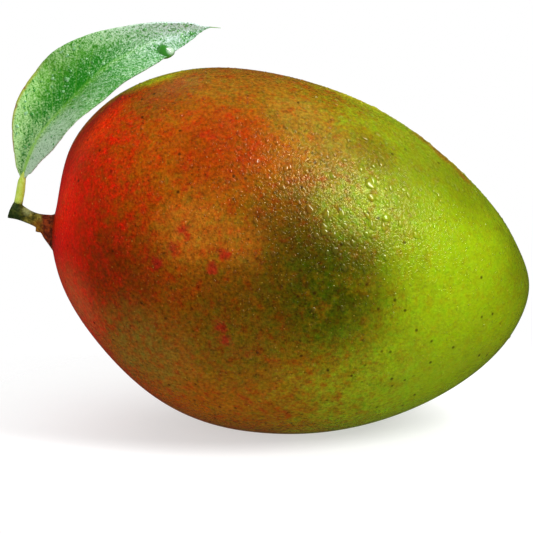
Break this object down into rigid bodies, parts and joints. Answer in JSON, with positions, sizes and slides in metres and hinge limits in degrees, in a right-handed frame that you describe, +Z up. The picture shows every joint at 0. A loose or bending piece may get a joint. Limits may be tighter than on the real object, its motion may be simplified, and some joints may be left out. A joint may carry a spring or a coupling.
{
  "type": "mango",
  "caption": "Picked ripe mango lying on its belly, with its woody stem and a folded leaf; a still-life fruit or a solid body to hold, pack or roll.",
  "frame": {"origin": "the middle of the flat spot under the belly that the mango rests on", "axes": "+X from the stem end to the tip, +Y across the fruit away from the leaf's upper face, +Z up from the surface it rests on"},
  "size_m": [0.1333, 0.0817, 0.1048],
  "materials": {
    "skin": "smooth waxy skin, red at the stem end, orange to olive in the middle and green at the tip",
    "bark": "dark green-brown woody twig",
    "leaf": "glossy mid-green leaf with a pale rib and stalk"
  },
  "bodies": {
    "root": {"fruit": "skin", "stem": "bark", "leaf": "leaf"}
  },
  "joints": []
}
